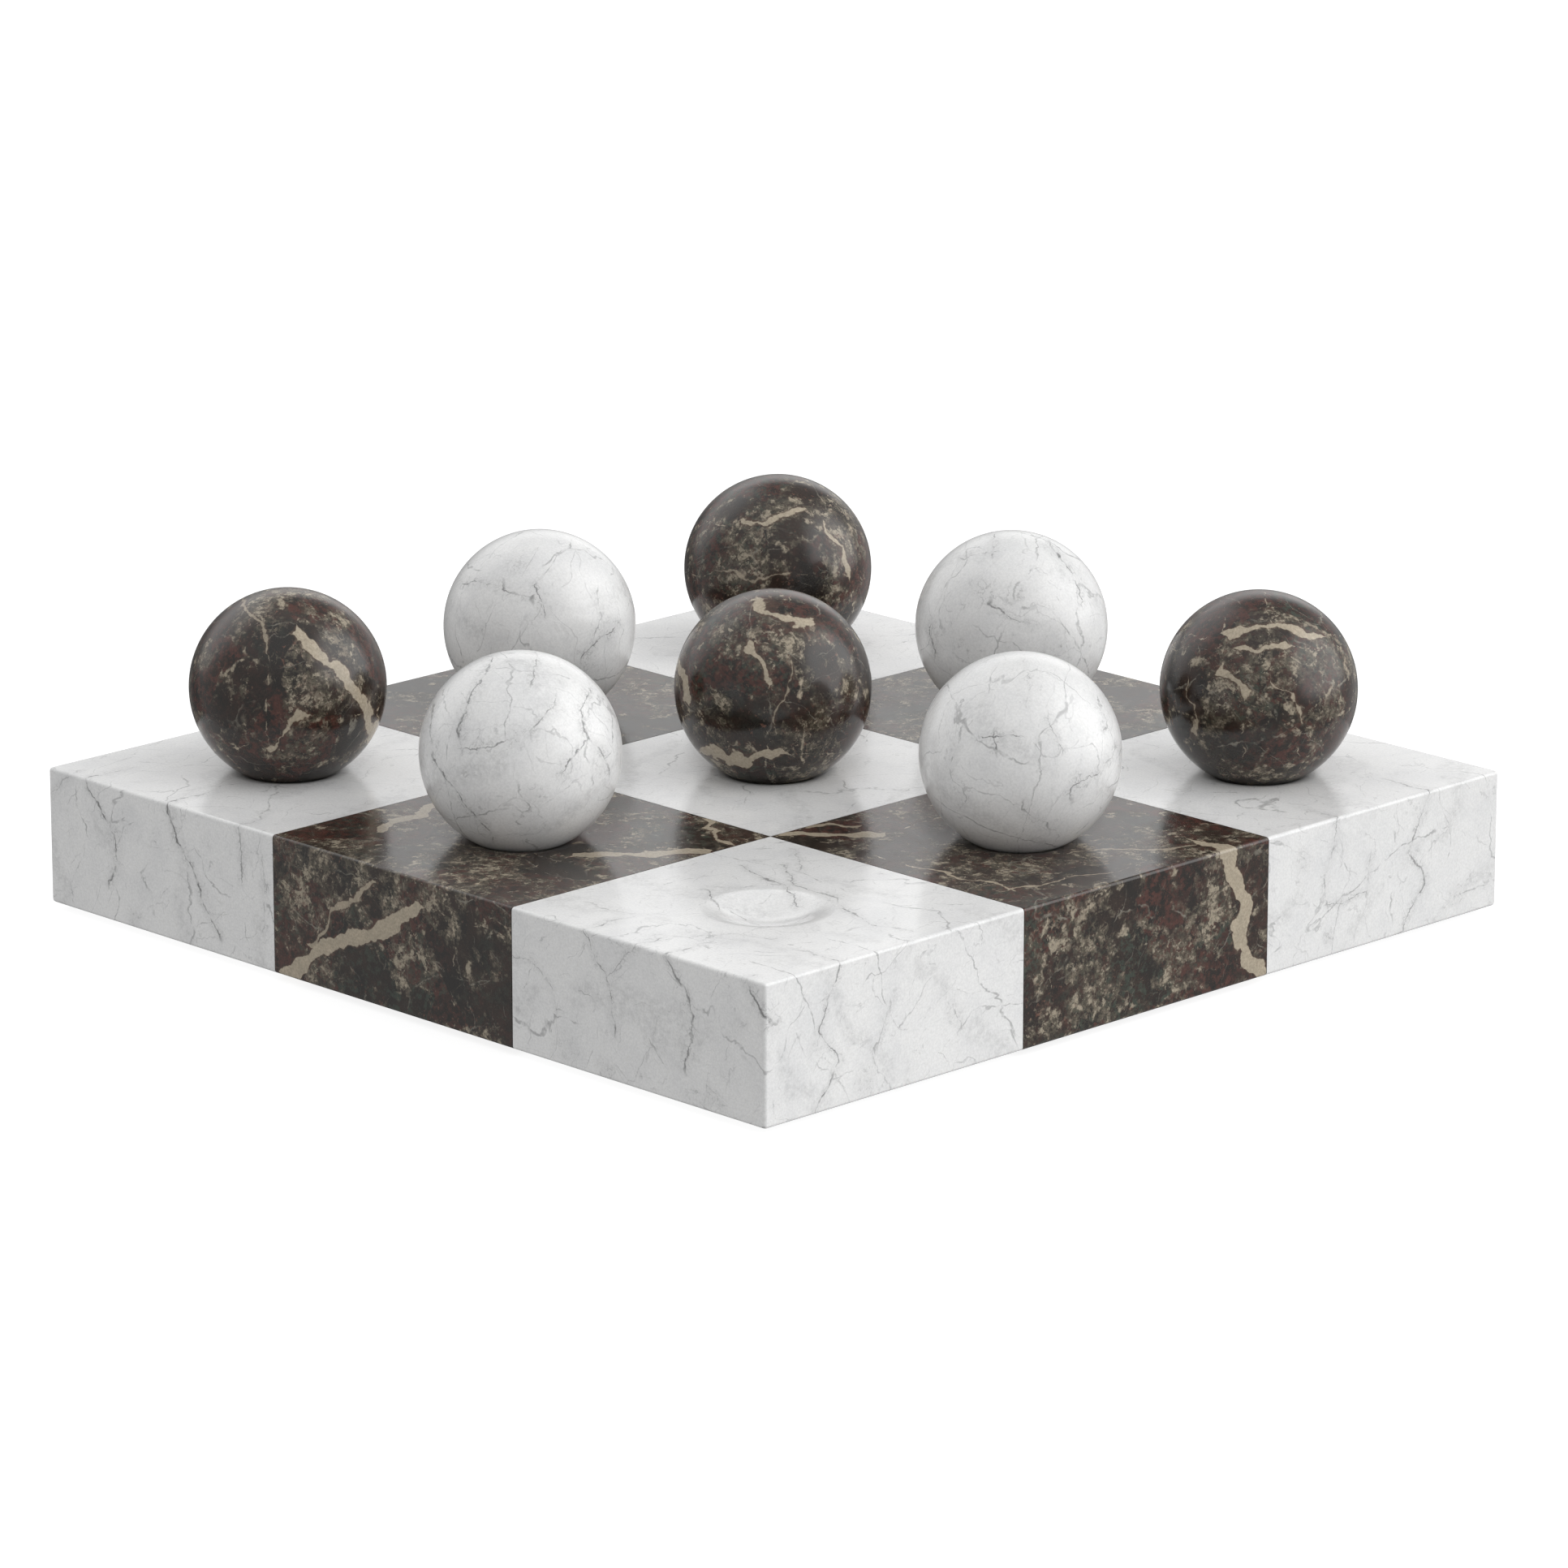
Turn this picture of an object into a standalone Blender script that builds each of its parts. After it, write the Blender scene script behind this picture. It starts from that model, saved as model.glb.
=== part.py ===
"""A stone tic tac toe set: nine marble blocks bonded into one thick board, eight marble balls and nine rubber feet.

Each block has a shallow round seat in the middle of its top face. White blocks take black balls and black blocks
take white balls, and the seat of the front right block is left free. Metres, +Z up, +X to the right, +Y to the back.
The origin is the middle of the plane that the feet stand on. Each ball's own origin is its centre, on the upright
line along which it lifts off.
"""

import math

import bmesh
import bpy

# Board
SQUARE = 0.100  # from the middle of one square to the middle of the next
BLOCK_HEIGHT = 0.041
JOINT_WIDTH = 0.0003  # line of stone adhesive between two blocks
ARRIS = 0.001  # width of the easing on the board's outer edges
ARRIS_STEPS = 2

# Balls and their seats
BALL_RADIUS = 0.02885
BALL_SINK = 0.0041  # how far a ball reaches below the board's top
BALL_SUBDIVISIONS = 4
SEAT_CLEARANCE = 0.0003
SEAT_RIM_RADIUS = 0.015  # the rim rolls over from the seat into the flat top
SEAT_RIM_RUNOUT = math.radians(4)  # slope at which the rolled rim meets the flat top
SEAT_RIM_STEPS = 4
SEAT_CUP_STEPS = 4
SEAT_TURN_STEPS = 32
CUTTER_OVERRUN = 0.005  # how far a cutter stands out of the block that it cuts

# Feet, each glued into a shallow round recess in the underside of its block
FOOT_RADIUS = 0.011
FOOT_DROP = 0.002  # how far the feet stand out below the blocks
FOOT_ROUNDING = 0.0007
FOOT_ROUNDING_STEPS = 3
FOOT_TURN_STEPS = 24
FOOT_FILM = 0.0003  # adhesive film between a foot and the roof of its recess
RECESS_DEPTH = 0.0012
RECESS_CLEARANCE = 0.0005  # between the recess's wall and the foot's side

MERGE_DISTANCE = 0.00001

# Worked out from the dimensions above
BLOCK_SIDE = SQUARE - JOINT_WIDTH
BOARD_TOP = FOOT_DROP + BLOCK_HEIGHT
FOOT_HEIGHT = FOOT_DROP + RECESS_DEPTH - FOOT_FILM
BALL_CENTRE = BALL_RADIUS - BALL_SINK  # above the board's top

ROWS = {-1: "front", 0: "middle", 1: "back"}
COLUMNS = {-1: "left", 0: "centre", 1: "right"}
FREE_SQUARE = (1, -1)  # column and row of the square with no ball


def clear_scene():
    for obj in list(bpy.data.objects):
        bpy.data.objects.remove(obj, do_unlink=True)


def new_collection(name):
    collection = bpy.data.collections.new(name)
    bpy.context.scene.collection.children.link(collection)
    return collection


def new_object(name, data, collection, parent, location):
    obj = bpy.data.objects.new(name, data)
    collection.objects.link(obj)
    obj.parent = parent
    obj.location = location
    return obj


def new_material(name, colour, roughness):
    material = bpy.data.materials.new(name)
    material.use_nodes = True
    shader = material.node_tree.nodes["Principled BSDF"]
    shader.inputs["Base Color"].default_value = (*colour, 1.0)
    shader.inputs["Roughness"].default_value = roughness
    shader.inputs["Metallic"].default_value = 0.0
    return material


def turned_mesh(name, profile):
    """A mesh of a profile's line, as (radius, height) points from the top to the bottom, for a Screw modifier."""
    mesh = bpy.data.meshes.new(name)
    edges = [(i, i + 1) for i in range(len(profile) - 1)]
    mesh.from_pydata([(radius, 0.0, height) for radius, height in profile], edges, [])
    return mesh


def add_turn(obj, steps):
    screw = obj.modifiers.new("turn", "SCREW")
    screw.axis = "Z"
    screw.angle = math.tau
    screw.steps = steps
    screw.render_steps = steps
    screw.use_merge_vertices = True
    screw.merge_threshold = MERGE_DISTANCE
    screw.use_smooth_shade = True


def seat_profile():
    """The seat cutter's outline about the board's top: a straight neck, the rolled rim's arc, then the cup's arc."""
    cup_radius = BALL_RADIUS + SEAT_CLEARANCE
    centre_distance = cup_radius + SEAT_RIM_RADIUS
    rim_centre = math.sqrt(centre_distance**2 - (BALL_CENTRE + SEAT_RIM_RADIUS) ** 2)
    meeting_angle = math.asin(rim_centre / centre_distance)

    def rim_point(angle):
        radius = rim_centre - SEAT_RIM_RADIUS * math.sin(angle)
        return radius, SEAT_RIM_RADIUS * (math.cos(angle) - 1)

    def cup_point(angle):
        return cup_radius * math.sin(angle), BALL_CENTRE - cup_radius * math.cos(angle)

    neck_radius = rim_point(SEAT_RIM_RUNOUT)[0]
    profile = [(0.0, CUTTER_OVERRUN), (neck_radius, CUTTER_OVERRUN)]
    for step in range(SEAT_RIM_STEPS):
        share = step / SEAT_RIM_STEPS
        profile.append(rim_point(SEAT_RIM_RUNOUT + share * (meeting_angle - SEAT_RIM_RUNOUT)))
    for step in range(SEAT_CUP_STEPS + 1):
        profile.append(cup_point(meeting_angle * (1 - step / SEAT_CUP_STEPS)))
    return profile


def foot_profile():
    """A foot's outline from its glued top, z = FOOT_HEIGHT, round its lower edge to the face it stands on, z = 0."""
    profile = [(0.0, FOOT_HEIGHT), (FOOT_RADIUS, FOOT_HEIGHT)]
    for step in range(FOOT_ROUNDING_STEPS + 1):
        angle = math.pi / 2 * step / FOOT_ROUNDING_STEPS
        radius = FOOT_RADIUS - FOOT_ROUNDING * (1 - math.cos(angle))
        profile.append((radius, FOOT_ROUNDING * (1 - math.sin(angle))))
    profile.append((0.0, 0.0))
    return profile


def is_bonded(normal, column, row):
    """Whether the block's face with this normal is glued to a neighbouring block."""
    is_side = abs(normal.z) < 0.5
    across, along = column + round(normal.x), row + round(normal.y)
    return is_side and across in COLUMNS and along in ROWS


def block_mesh(name, column, row):
    """A square block, with its origin in the middle of its top. Only the board's outer edges carry a bevel weight."""
    mesh = bpy.data.meshes.new(name)
    block = bmesh.new()
    bmesh.ops.create_cube(block, size=1.0)
    bmesh.ops.scale(block, vec=(BLOCK_SIDE, BLOCK_SIDE, BLOCK_HEIGHT), verts=block.verts)
    bmesh.ops.translate(block, vec=(0.0, 0.0, -BLOCK_HEIGHT / 2), verts=block.verts)
    weights = block.edges.layers.float.new("bevel_weight_edge")
    for edge in block.edges:
        glued = any(is_bonded(face.normal, column, row) for face in edge.link_faces)
        edge[weights] = 0.0 if glued else 1.0
    block.to_mesh(mesh)
    block.free()
    return mesh


def recess_cutter_mesh(name):
    """A short cylinder for a foot's recess, with its origin in the middle of the board's top."""
    mesh = bpy.data.meshes.new(name)
    radius = FOOT_RADIUS + RECESS_CLEARANCE
    depth = RECESS_DEPTH + CUTTER_OVERRUN
    middle = RECESS_DEPTH - depth / 2 - BLOCK_HEIGHT
    plug = bmesh.new()
    bmesh.ops.create_cone(
        plug, cap_ends=True, segments=FOOT_TURN_STEPS, radius1=radius, radius2=radius, depth=depth
    )
    bmesh.ops.translate(plug, vec=(0.0, 0.0, middle), verts=plug.verts)
    plug.to_mesh(mesh)
    plug.free()
    return mesh


def ball_mesh(name):
    mesh = bpy.data.meshes.new(name)
    ball = bmesh.new()
    bmesh.ops.create_icosphere(ball, subdivisions=BALL_SUBDIVISIONS, radius=BALL_RADIUS)
    ball.to_mesh(mesh)
    ball.free()
    mesh.shade_smooth()
    return mesh


def add_cutter(name, mesh, collection, square):
    cutter = new_object(name, mesh, collection, square, (0.0, 0.0, 0.0))
    cutter.hide_render = True
    cutter.display_type = "WIRE"
    return cutter


def add_block(name, mesh, cutters, collection, square):
    obj = new_object(name, mesh, collection, square, (0.0, 0.0, 0.0))
    bevel = obj.modifiers.new("outer arrises", "BEVEL")
    bevel.limit_method = "WEIGHT"
    bevel.width = ARRIS
    bevel.segments = ARRIS_STEPS
    for cutter in cutters:
        cut = obj.modifiers.new(cutter.name, "BOOLEAN")
        cut.operation = "DIFFERENCE"
        cut.solver = "EXACT"
        cut.object = cutter
    return obj


def build():
    clear_scene()
    parts = new_collection("tic_tac_toe_set")
    cutters = new_collection("tic_tac_toe_set_cutters")

    marble = {
        "white": new_material("white_marble", (0.80, 0.80, 0.79), 0.10),
        "black": new_material("black_marble", (0.035, 0.029, 0.025), 0.08),
    }
    rubber = new_material("foot_rubber", (0.025, 0.025, 0.025), 0.75)

    balls = {colour: ball_mesh(f"ball_{colour}") for colour in marble}
    for colour, mesh in balls.items():
        mesh.materials.append(marble[colour])
    seat_mesh = turned_mesh("seat_cutter", seat_profile())
    recess_mesh = recess_cutter_mesh("recess_cutter")
    foot_mesh = turned_mesh("foot", foot_profile())
    foot_mesh.materials.append(rubber)

    board = new_object("board", None, parts, None, (0.0, 0.0, BOARD_TOP))
    for row, row_name in ROWS.items():
        for column, column_name in COLUMNS.items():
            place = f"{row_name}_{column_name}"
            is_white = (column + row) % 2 == 0
            colour, ball_colour = ("white", "black") if is_white else ("black", "white")
            square = new_object(f"square_{place}", None, parts, board, (column * SQUARE, row * SQUARE, 0.0))

            seat = add_cutter(f"seat_cutter_{place}", seat_mesh, cutters, square)
            add_turn(seat, SEAT_TURN_STEPS)
            recess = add_cutter(f"recess_cutter_{place}", recess_mesh, cutters, square)
            name = f"block_{colour}_{place}"
            stone = block_mesh(name, column, row)
            stone.materials.append(marble[colour])
            add_block(name, stone, (seat, recess), parts, square)

            foot = new_object(f"foot_{place}", foot_mesh, parts, square, (0.0, 0.0, -BOARD_TOP))
            add_turn(foot, FOOT_TURN_STEPS)

            if (column, row) != FREE_SQUARE:
                mesh = balls[ball_colour]
                new_object(f"ball_{ball_colour}_{place}", mesh, parts, square, (0.0, 0.0, BALL_CENTRE))


build()
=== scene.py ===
"""How the marble tic tac toe set looks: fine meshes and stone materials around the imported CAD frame.

Meshes are in metres. The materials' nodes count in millimetres, in each piece's own space.
"""

import math

import bmesh
import bpy
from mathutils import Euler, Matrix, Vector


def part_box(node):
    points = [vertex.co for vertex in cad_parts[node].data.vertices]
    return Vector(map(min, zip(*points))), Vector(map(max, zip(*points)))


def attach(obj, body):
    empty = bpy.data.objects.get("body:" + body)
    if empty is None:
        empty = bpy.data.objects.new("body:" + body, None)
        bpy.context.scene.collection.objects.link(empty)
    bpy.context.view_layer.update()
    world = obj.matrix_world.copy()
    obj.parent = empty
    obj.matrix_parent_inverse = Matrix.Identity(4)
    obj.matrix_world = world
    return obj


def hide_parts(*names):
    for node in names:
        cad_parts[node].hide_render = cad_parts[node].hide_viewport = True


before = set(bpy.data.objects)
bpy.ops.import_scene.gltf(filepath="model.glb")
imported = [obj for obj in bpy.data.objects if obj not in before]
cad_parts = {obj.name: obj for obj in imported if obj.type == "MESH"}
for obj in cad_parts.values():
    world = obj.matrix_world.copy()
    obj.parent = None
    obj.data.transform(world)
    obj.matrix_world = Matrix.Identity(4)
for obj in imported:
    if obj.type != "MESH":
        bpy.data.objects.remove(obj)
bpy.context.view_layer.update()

MM = 0.001

# The board, its balls and its feet, read from the frame
ROWS = {-1: "front", 0: "middle", 1: "back"}
COLUMNS = {-1: "left", 0: "centre", 1: "right"}
BOARD_LOW, BOARD_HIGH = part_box("block_white_middle_centre")
BOARD_TOP = BOARD_HIGH.z
BLOCK_SIDE = BOARD_HIGH.x - BOARD_LOW.x
BLOCK_HEIGHT = BOARD_HIGH.z - BOARD_LOW.z
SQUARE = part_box("block_black_middle_right")[0].x - BOARD_LOW.x
BALL_LOW, BALL_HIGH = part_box("ball_black_middle_centre")
BALL_RADIUS = (BALL_HIGH.z - BALL_LOW.z) / 2
BALL_CENTRE = (BALL_HIGH.z + BALL_LOW.z) / 2 - BOARD_TOP
FOOT_LOW, FOOT_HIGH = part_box("foot_middle_centre")
FOOT_RADIUS = (FOOT_HIGH.x - FOOT_LOW.x) / 2
FOOT_HEIGHT = FOOT_HIGH.z - FOOT_LOW.z

# Blocks
ARRIS = 1.0 * MM
ARRIS_STEPS = 4
SEAT_CLEARANCE = 0.08 * MM
SEAT_RIM_RADIUS = 17 * MM
SEAT_RIM_RUNOUT = math.radians(2)  # slope at which the rolled rim meets the flat top
SEAT_RIM_STEPS = 20
SEAT_CUP_STEPS = 12
RECESS_RADIUS = FOOT_RADIUS + 0.5 * MM
RECESS_DEPTH = 1.2 * MM
CUTTER_OVERRUN = 5 * MM  # how far a cutter stands out of the block that it cuts

# Feet, balls and shading
FOOT_ROUNDING = 0.7 * MM
FOOT_ROUNDING_STEPS = 8
BALL_SUBDIVISIONS = 6
TURN_STEPS = 144
MERGE_DISTANCE = 0.001 * MM
SMOOTH_ANGLE = math.radians(35)
LARGE_FACE_WEIGHT = 100  # flat faces keep their own normals up to the eased edges

# The line of stone adhesive between the blocks
JOINT_WIDTH = SQUARE - BLOCK_SIDE
GLUE_GAP = 0.01 * MM  # what a touching mesh needs on each side
GLUE_INSET = 0.08 * MM  # how far the adhesive stays below the stone's faces
GLUE_EASING = ARRIS - GLUE_INSET


# ---------------------------------------------------------------- meshes


def new_object(name, mesh, location=(0.0, 0.0, 0.0)):
    obj = bpy.data.objects.new(name, mesh)
    bpy.context.scene.collection.objects.link(obj)
    obj.location = location
    return obj


def evaluated_mesh(obj):
    """obj's mesh with its modifiers applied."""
    bpy.context.view_layer.update()
    depsgraph = bpy.context.evaluated_depsgraph_get()
    return bpy.data.meshes.new_from_object(obj.evaluated_get(depsgraph), depsgraph=depsgraph)


def turned_mesh(name, profile, steps):
    """A mesh turned about Z from a line of (radius, height) points that starts and ends on the axis."""
    points = [(radius, 0.0, height) for radius, height in profile]
    edges = [(i, i + 1) for i in range(len(profile) - 1)]
    line = bpy.data.meshes.new(name)
    line.from_pydata(points, edges, [])
    obj = new_object(name, line)
    screw = obj.modifiers.new("turn", "SCREW")
    screw.axis = "Z"
    screw.angle = math.tau
    screw.steps = steps
    screw.render_steps = steps
    screw.use_merge_vertices = True
    screw.merge_threshold = MERGE_DISTANCE
    turned = evaluated_mesh(obj)
    bpy.data.objects.remove(obj)

    bm = bmesh.new()
    bm.from_mesh(turned)
    bmesh.ops.remove_doubles(bm, verts=bm.verts, dist=MERGE_DISTANCE)
    bmesh.ops.recalc_face_normals(bm, faces=bm.faces)
    bm.to_mesh(turned)
    bm.free()
    turned.name = name
    turned.shade_smooth()
    return turned


def seat_profile():
    """The seat cutter's outline about the board's top: a straight neck, the rolled rim's arc, the cup's."""
    cup_radius = BALL_RADIUS + SEAT_CLEARANCE
    centre_distance = cup_radius + SEAT_RIM_RADIUS
    rim_centre = math.sqrt(centre_distance**2 - (BALL_CENTRE + SEAT_RIM_RADIUS) ** 2)
    meeting_angle = math.asin(rim_centre / centre_distance)

    def rim_point(angle):
        radius = rim_centre - SEAT_RIM_RADIUS * math.sin(angle)
        return radius, SEAT_RIM_RADIUS * (math.cos(angle) - 1)

    def cup_point(angle):
        return cup_radius * math.sin(angle), BALL_CENTRE - cup_radius * math.cos(angle)

    neck_radius = rim_point(SEAT_RIM_RUNOUT)[0]
    profile = [(0.0, CUTTER_OVERRUN), (neck_radius, CUTTER_OVERRUN)]
    for step in range(SEAT_RIM_STEPS):
        share = step / SEAT_RIM_STEPS
        profile.append(rim_point(SEAT_RIM_RUNOUT + share * (meeting_angle - SEAT_RIM_RUNOUT)))
    for step in range(SEAT_CUP_STEPS + 1):
        profile.append(cup_point(meeting_angle * (1 - step / SEAT_CUP_STEPS)))
    return profile


def recess_profile():
    """The outline of the cutter for a foot's recess, with the board's top at z = 0."""
    roof = RECESS_DEPTH - BLOCK_HEIGHT
    mouth = -BLOCK_HEIGHT - CUTTER_OVERRUN
    return [(0.0, roof), (RECESS_RADIUS, roof), (RECESS_RADIUS, mouth), (0.0, mouth)]


def foot_profile():
    """A foot's outline from its glued top, round its lower edge, to the face it stands on, z = 0."""
    profile = [(0.0, FOOT_HEIGHT), (FOOT_RADIUS, FOOT_HEIGHT)]
    for step in range(FOOT_ROUNDING_STEPS + 1):
        angle = math.pi / 2 * step / FOOT_ROUNDING_STEPS
        radius = FOOT_RADIUS - FOOT_ROUNDING * (1 - math.cos(angle))
        profile.append((radius, FOOT_ROUNDING * (1 - math.sin(angle))))
    profile.append((0.0, 0.0))
    return profile


def is_bonded(normal, column, row):
    """Whether the block's face with this normal is glued to a neighbouring block."""
    is_side = abs(normal.z) < 0.5
    across, along = column + round(normal.x), row + round(normal.y)
    return is_side and across in COLUMNS and along in ROWS


def plain_block_mesh(name, column, row):
    """A square block, its origin in the middle of its top. Only the board's outer edges are to be eased."""
    mesh = bpy.data.meshes.new(name)
    bm = bmesh.new()
    bmesh.ops.create_cube(bm, size=1.0)
    bmesh.ops.scale(bm, vec=(BLOCK_SIDE, BLOCK_SIDE, BLOCK_HEIGHT), verts=bm.verts)
    bmesh.ops.translate(bm, vec=(0.0, 0.0, -BLOCK_HEIGHT / 2), verts=bm.verts)
    weights = bm.edges.layers.float.new("bevel_weight_edge")
    for edge in bm.edges:
        glued = any(is_bonded(face.normal, column, row) for face in edge.link_faces)
        edge[weights] = 0.0 if glued else 1.0
    bm.to_mesh(mesh)
    bm.free()
    return mesh


def block_mesh(name, column, row, cutters):
    """A block, eased along the board's outer edges and cut for its seat and its foot."""
    obj = new_object(name, plain_block_mesh(name, column, row))
    bevel = obj.modifiers.new("outer arrises", "BEVEL")
    bevel.limit_method = "WEIGHT"
    bevel.width = ARRIS
    bevel.segments = ARRIS_STEPS
    for cutter in cutters:
        cut = obj.modifiers.new(cutter.name, "BOOLEAN")
        cut.operation = "DIFFERENCE"
        cut.solver = "EXACT"
        cut.object = cutter
    cut_mesh = evaluated_mesh(obj)
    cut_mesh.shade_smooth()
    cut_mesh.set_sharp_from_angle(angle=SMOOTH_ANGLE)

    obj.modifiers.clear()
    obj.data = cut_mesh
    shading = obj.modifiers.new("shading", "WEIGHTED_NORMAL")
    shading.keep_sharp = True
    shading.weight = LARGE_FACE_WEIGHT
    shaded = evaluated_mesh(obj)
    shaded.name = name
    shaded.materials.clear()
    bpy.data.objects.remove(obj)
    return shaded


def ball_mesh(name):
    mesh = bpy.data.meshes.new(name)
    bm = bmesh.new()
    bmesh.ops.create_icosphere(bm, subdivisions=BALL_SUBDIVISIONS, radius=BALL_RADIUS)
    bm.to_mesh(mesh)
    bm.free()
    mesh.shade_smooth()
    return mesh


def strip_outline(start, end):
    """A strip of adhesive's outline, as (along, z) points, eased where the strip ends at the board's side."""
    low, high = BOARD_LOW.z + GLUE_INSET, BOARD_TOP - GLUE_INSET
    outline = []
    # Each corner has the turn at which its easing starts
    corners = ((end, high, 0.0), (start, high, 0.25), (start, low, 0.5), (end, low, 0.75))
    for along, z, turn in corners:
        if abs(along) < SQUARE:
            outline.append((along, z))
            continue
        centre_along = along - math.copysign(GLUE_EASING, along)
        centre_z = z + (GLUE_EASING if z == low else -GLUE_EASING)
        for step in range(ARRIS_STEPS + 1):
            angle = math.tau * (turn + step / ARRIS_STEPS / 4)
            point_along = centre_along + GLUE_EASING * math.cos(angle)
            outline.append((point_along, centre_z + GLUE_EASING * math.sin(angle)))
    return outline


def add_strip(bm, start, end, across, is_row):
    """A strip of adhesive from start to end, in the joint that far across from the board's middle."""
    half = JOINT_WIDTH / 2 - GLUE_GAP
    rims = []
    for side in (across - half, across + half):
        outline = strip_outline(start, end)
        places = [(along, side, z) if is_row else (side, along, z) for along, z in outline]
        rims.append([bm.verts.new(place) for place in places])
    near, far = rims
    bm.faces.new(near)
    bm.faces.new(reversed(far))
    for i in range(len(near)):
        after = (i + 1) % len(near)
        bm.faces.new((near[after], near[i], far[i], far[after]))


def glue_mesh(name):
    """The adhesive: a strip along each joint between two rows, and short strips between the columns."""
    edge = SQUARE + BLOCK_SIDE / 2 - GLUE_INSET
    inner = SQUARE / 2 - JOINT_WIDTH / 2 - GLUE_GAP
    outer = SQUARE / 2 + JOINT_WIDTH / 2 + GLUE_GAP
    bm = bmesh.new()
    for joint in (-SQUARE / 2, SQUARE / 2):
        add_strip(bm, -edge, edge, joint, True)
        for start, end in ((-edge, -outer), (-inner, inner), (outer, edge)):
            add_strip(bm, start, end, joint, False)
    bmesh.ops.recalc_face_normals(bm, faces=bm.faces)
    mesh = bpy.data.meshes.new(name)
    bm.to_mesh(mesh)
    bm.free()
    return mesh


# ---------------------------------------------------------------- shader nodes


class Graph:
    """A tree of shader nodes. An argument is a number, a colour or another node's output."""

    def __init__(self, tree):
        self.tree = tree
        self.shader = tree.nodes.get("Principled BSDF")

    def feed(self, socket, value):
        if isinstance(value, bpy.types.NodeSocket):
            self.tree.links.new(value, socket)
        else:
            socket.default_value = value

    def node(self, kind, inputs, **settings):
        node = self.tree.nodes.new("ShaderNode" + kind)
        for key, value in settings.items():
            setattr(node, key, value)
        for key, value in inputs.items():
            self.feed(node.inputs[key], value)
        return node

    def math(self, operation, a, b=0.0, c=0.0):
        return self.node("Math", {0: a, 1: b, 2: c}, operation=operation).outputs[0]

    def add(self, a, b):
        return self.math("ADD", a, b)

    def subtract(self, a, b):
        return self.math("SUBTRACT", a, b)

    def multiply(self, a, *others):
        for b in others:
            a = self.math("MULTIPLY", a, b)
        return a

    def highest(self, a, *others):
        for b in others:
            a = self.math("MAXIMUM", a, b)
        return a

    def away(self, a, middle):
        """How far a is from middle."""
        return self.math("ABSOLUTE", self.subtract(a, middle))

    def vector(self, operation, a, b):
        return self.node("VectorMath", {0: a, 1: b}, operation=operation).outputs[0]

    def measure(self, operation, a, b):
        """A number worked out from two vectors."""
        return self.node("VectorMath", {0: a, 1: b}, operation=operation).outputs["Value"]

    def scaled(self, a, scale):
        return self.node("VectorMath", {0: a, "Scale": scale}, operation="SCALE").outputs[0]

    def ramp(self, value, start, end, low=0.0, high=1.0):
        """low where value is at start, high where it is at end, with a smooth turn between them."""
        inputs = {0: value, 1: start, 2: end, 3: low, 4: high}
        return self.node("MapRange", inputs, interpolation_type="SMOOTHSTEP").outputs[0]

    def linear(self, value, start, end, low=0.0, high=1.0):
        return self.node("MapRange", {0: value, 1: start, 2: end, 3: low, 4: high}).outputs[0]

    def noise(self, vector, size, detail=2.0, roughness=0.5, output="Fac"):
        """Noise from 0 to 1 whose features are about size millimetres across."""
        inputs = {"Vector": vector, "Scale": 1.0 / size, "Detail": detail, "Roughness": roughness}
        return self.node("TexNoise", inputs).outputs[output]

    def cells(self, vector, size, feature, output):
        inputs = {"Vector": vector, "Scale": 1.0 / size}
        return self.node("TexVoronoi", inputs, feature=feature).outputs[output]

    def mix(self, factor, a, b):
        """From colour a to colour b."""
        node = self.tree.nodes.new("ShaderNodeMix")
        node.data_type = "RGBA"
        self.feed(node.inputs[0], factor)
        self.feed(node.inputs[6], a if isinstance(a, bpy.types.NodeSocket) else (*a, 1.0))
        self.feed(node.inputs[7], b if isinstance(b, bpy.types.NodeSocket) else (*b, 1.0))
        return node.outputs[2]

    def tint(self, colour, factor):
        """colour times a number."""
        grey = self.node("CombineXYZ", {0: factor, 1: factor, 2: factor}).outputs[0]
        return self.vector("MULTIPLY", colour, grey)

    def curve(self, value, points):
        """A line through points, from 0 to 1 both ways."""
        node = self.node("FloatCurve", {"Value": value})
        line = node.mapping.curves[0]
        while len(line.points) < len(points):
            line.points.new(0.5, 0.5)
        for point, place in zip(line.points, points):
            point.location = place
            point.handle_type = "VECTOR"
        node.mapping.update()
        return node.outputs[0]

    def piece_coordinates(self):
        """The piece's own coordinates in millimetres."""
        return self.scaled(self.node("TexCoord", {}).outputs["Object"], 1.0 / MM)

    def moved(self, vector, place, turn):
        """vector somewhere else in the rock, so that no two pieces look alike."""
        inputs = {"Vector": vector, "Location": place, "Rotation": turn}
        return self.node("Mapping", inputs).outputs[0]

    def warped(self, vector, size, amount, detail=2.0):
        """vector pushed about by noise of that size, by up to about half of amount each way."""
        push = self.vector("SUBTRACT", self.noise(vector, size, detail, output="Color"), (0.5, 0.5, 0.5))
        return self.vector("ADD", vector, self.scaled(push, amount))


def new_material(name):
    """A new material and the graph of its nodes."""
    material = bpy.data.materials.new(name)
    material.use_nodes = True
    return material, Graph(material.node_tree)


def add_relief(g, height, strength):
    """The faint unevenness of a polished or moulded surface."""
    bump = g.node("Bump", {"Height": height, "Strength": strength, "Distance": 0.15 * MM})
    g.feed(g.shader.inputs["Normal"], bump.outputs[0])


# ---------------------------------------------------------------- where veins lie

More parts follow.
